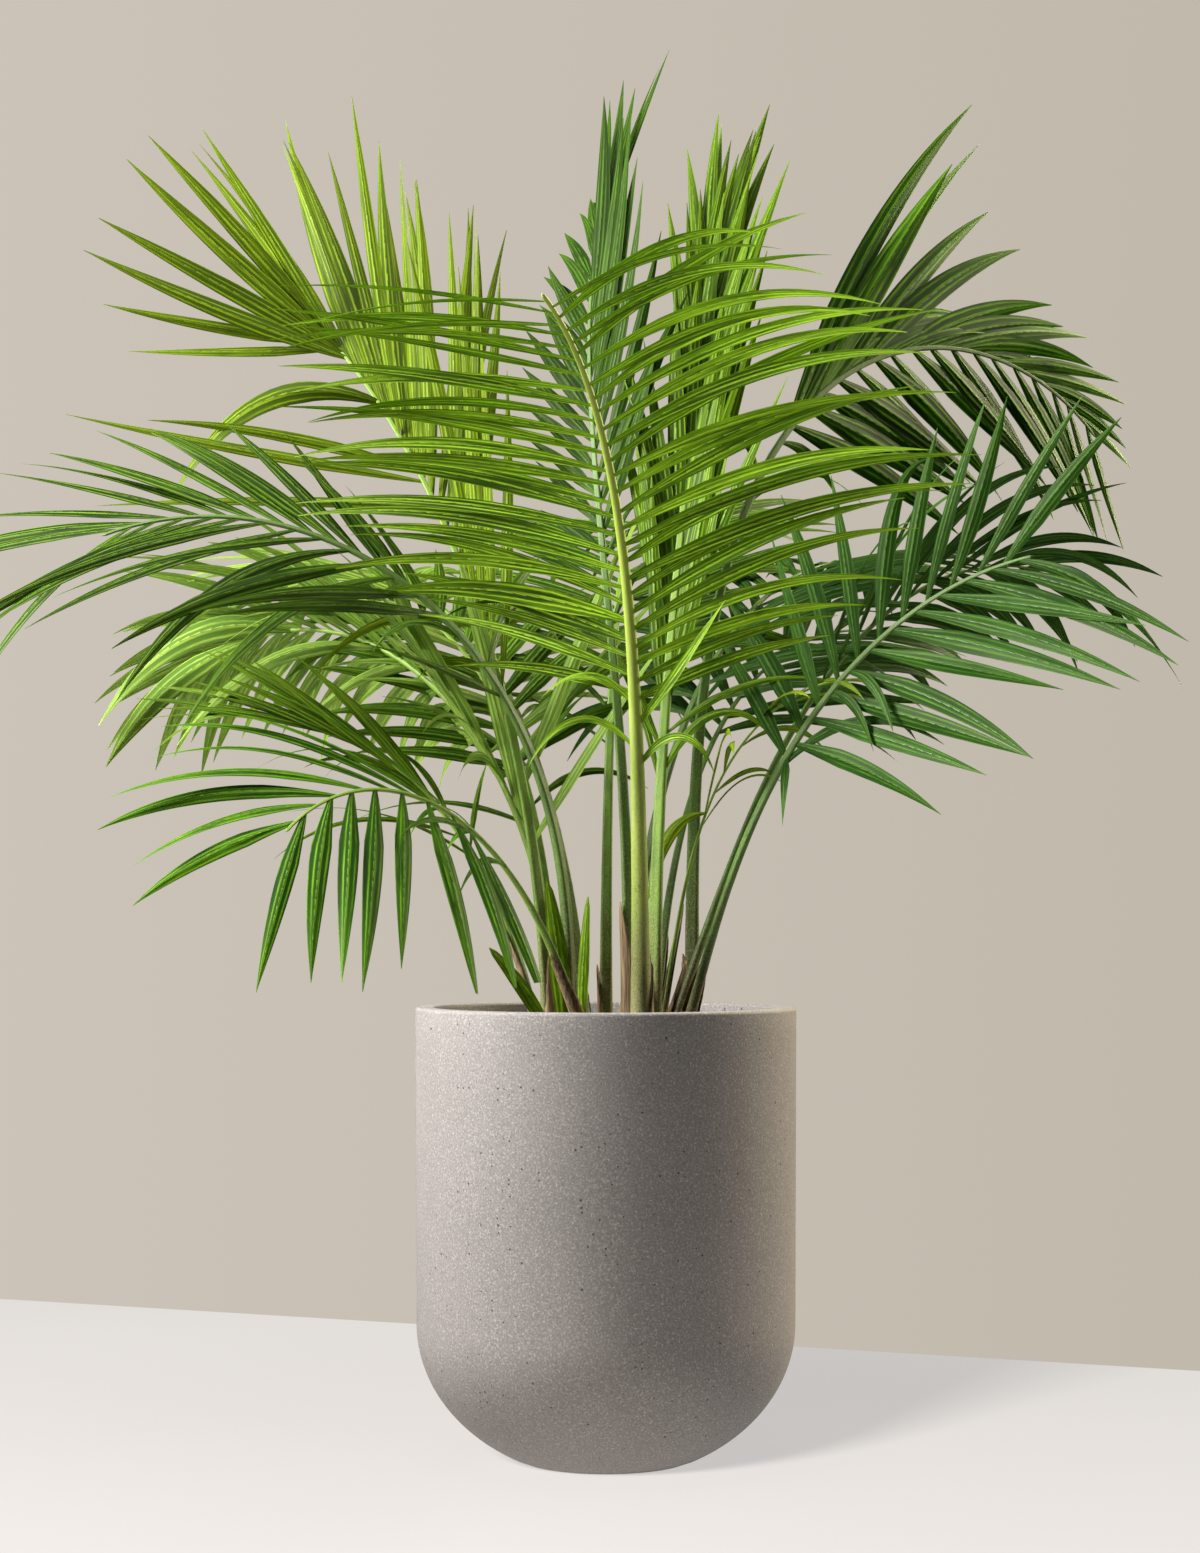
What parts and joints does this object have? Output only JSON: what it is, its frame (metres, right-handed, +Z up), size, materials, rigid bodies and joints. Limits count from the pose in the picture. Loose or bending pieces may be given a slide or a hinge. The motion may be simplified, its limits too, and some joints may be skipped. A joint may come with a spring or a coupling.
{
  "type": "potted majesty palm",
  "caption": "Indoor majesty palm with long arching feather fronds on slender petioles, rising from clustered stems in a plain round-bottomed planter filled with soil.",
  "frame": {"origin": "middle of the flat underside of the pot", "axes": "+Z up, -Y towards the front of the picture, +X to its right"},
  "size_m": [1.1265, 1.0752, 1.2801],
  "materials": {
    "pot": "matt fine-grained cement composite, warm grey",
    "soil": "dark peat and bark potting mix",
    "stem": "fibrous brown leaf bases",
    "petiole": "smooth green stalk, mottled brown low down",
    "leaf": "thin satin green leaflets"
  },
  "bodies": {
    "root": {"pot": "pot", "soil": "soil", "stem_front": "stem", "stem_right": "stem", "stem_left": "stem", "stem_back": "stem", "young_leaf_a": "leaf", "young_leaf_b": "leaf", "young_leaf_c": "leaf", "petiole_front_tall": "petiole", "petiole_right_front": "petiole", "petiole_left_droop": "petiole", "petiole_left_high": "petiole", "petiole_left_arch": "petiole", "petiole_right_high": "petiole", "petiole_spear_fan": "petiole", "petiole_centre_back": "petiole", "petiole_left_mid": "petiole", "petiole_left_young": "petiole", "petiole_right_back": "petiole", "petiole_thin_right": "petiole", "petiole_back_left": "petiole", "petiole_back_centre": "petiole", "petiole_back_right": "petiole", "petiole_inner_left": "petiole", "petiole_inner_right": "petiole", "frond_front_tall_low": "leaf", "frond_front_tall_high": "leaf", "frond_right_front": "leaf", "frond_left_droop_low": "leaf", "frond_left_droop_high": "leaf", "frond_left_high": "leaf", "frond_left_arch_low": "leaf", "frond_left_arch_high": "leaf", "frond_right_high_low": "leaf", "frond_right_high_high": "leaf", "frond_spear_fan": "leaf", "frond_centre_back": "leaf", "frond_left_mid_low": "leaf", "frond_left_mid_high": "leaf", "frond_left_young": "leaf", "frond_right_back_low": "leaf", "frond_right_back_high": "leaf", "frond_thin_right": "leaf", "frond_back_left_low": "leaf", "frond_back_left_high": "leaf", "frond_back_centre_low": "leaf", "frond_back_centre_high": "leaf", "frond_back_right_low": "leaf", "frond_back_right_high": "leaf", "frond_inner_left": "leaf", "frond_inner_right": "leaf"}
  },
  "joints": []
}
